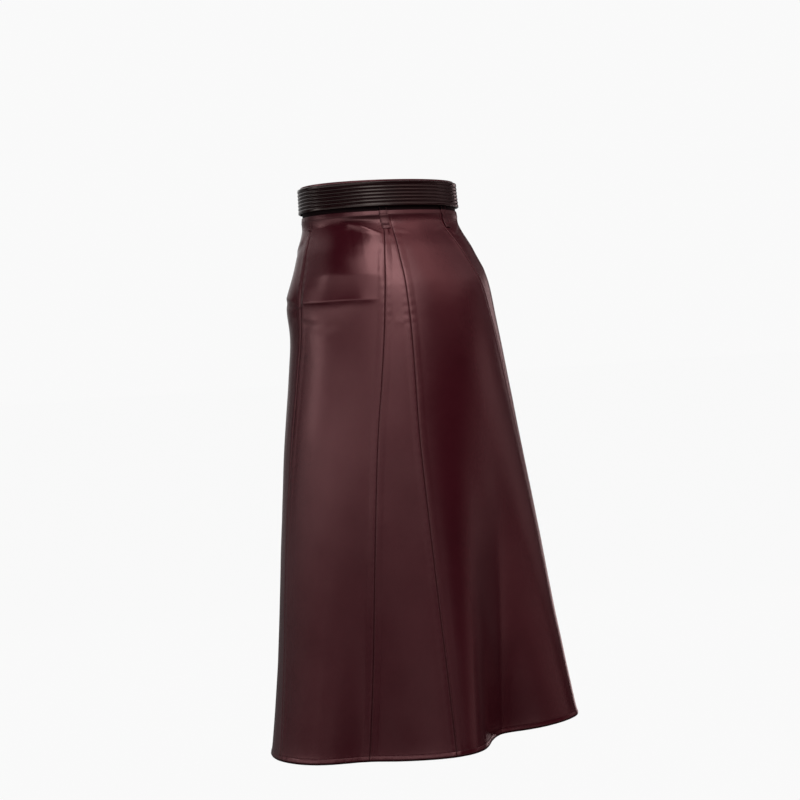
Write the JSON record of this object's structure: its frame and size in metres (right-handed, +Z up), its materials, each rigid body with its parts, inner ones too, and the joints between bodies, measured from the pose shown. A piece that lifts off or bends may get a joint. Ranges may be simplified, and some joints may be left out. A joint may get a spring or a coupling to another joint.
{
  "type": "leather skirt",
  "caption": "High-waisted A-line leather midi skirt with panel seams, a back gore and its own stitched belt, in worn hollow form.",
  "frame": {"origin": "centre of the waist opening, level with the top edge of the waistband, where the wearer's waist holds the skirt", "axes": "+Z up out of the waist, +Y towards the wearer's back, +X towards the wearer's left"},
  "size_m": [0.4751, 0.353, 0.8012],
  "materials": {
    "leather": "smooth burgundy leather, semi-gloss",
    "belt_leather": "smooth dark burgundy leather, rows of topstitching",
    "buckle_metal": "satin dark nickel"
  },
  "bodies": {
    "root": {"waistband": "leather", "centre_back_panel": "leather", "back_left_gore": "leather", "side_back_left_panel": "leather", "side_back_right_panel": "leather", "front_panel": "leather", "belt_loop_back_left": "leather", "belt_loop_back_right": "leather", "belt_loop_front_left": "leather", "belt_loop_front_right": "leather", "belt_strap": "belt_leather", "belt_keeper": "belt_leather", "buckle_frame": "buckle_metal", "buckle_prong": "buckle_metal"}
  },
  "joints": []
}
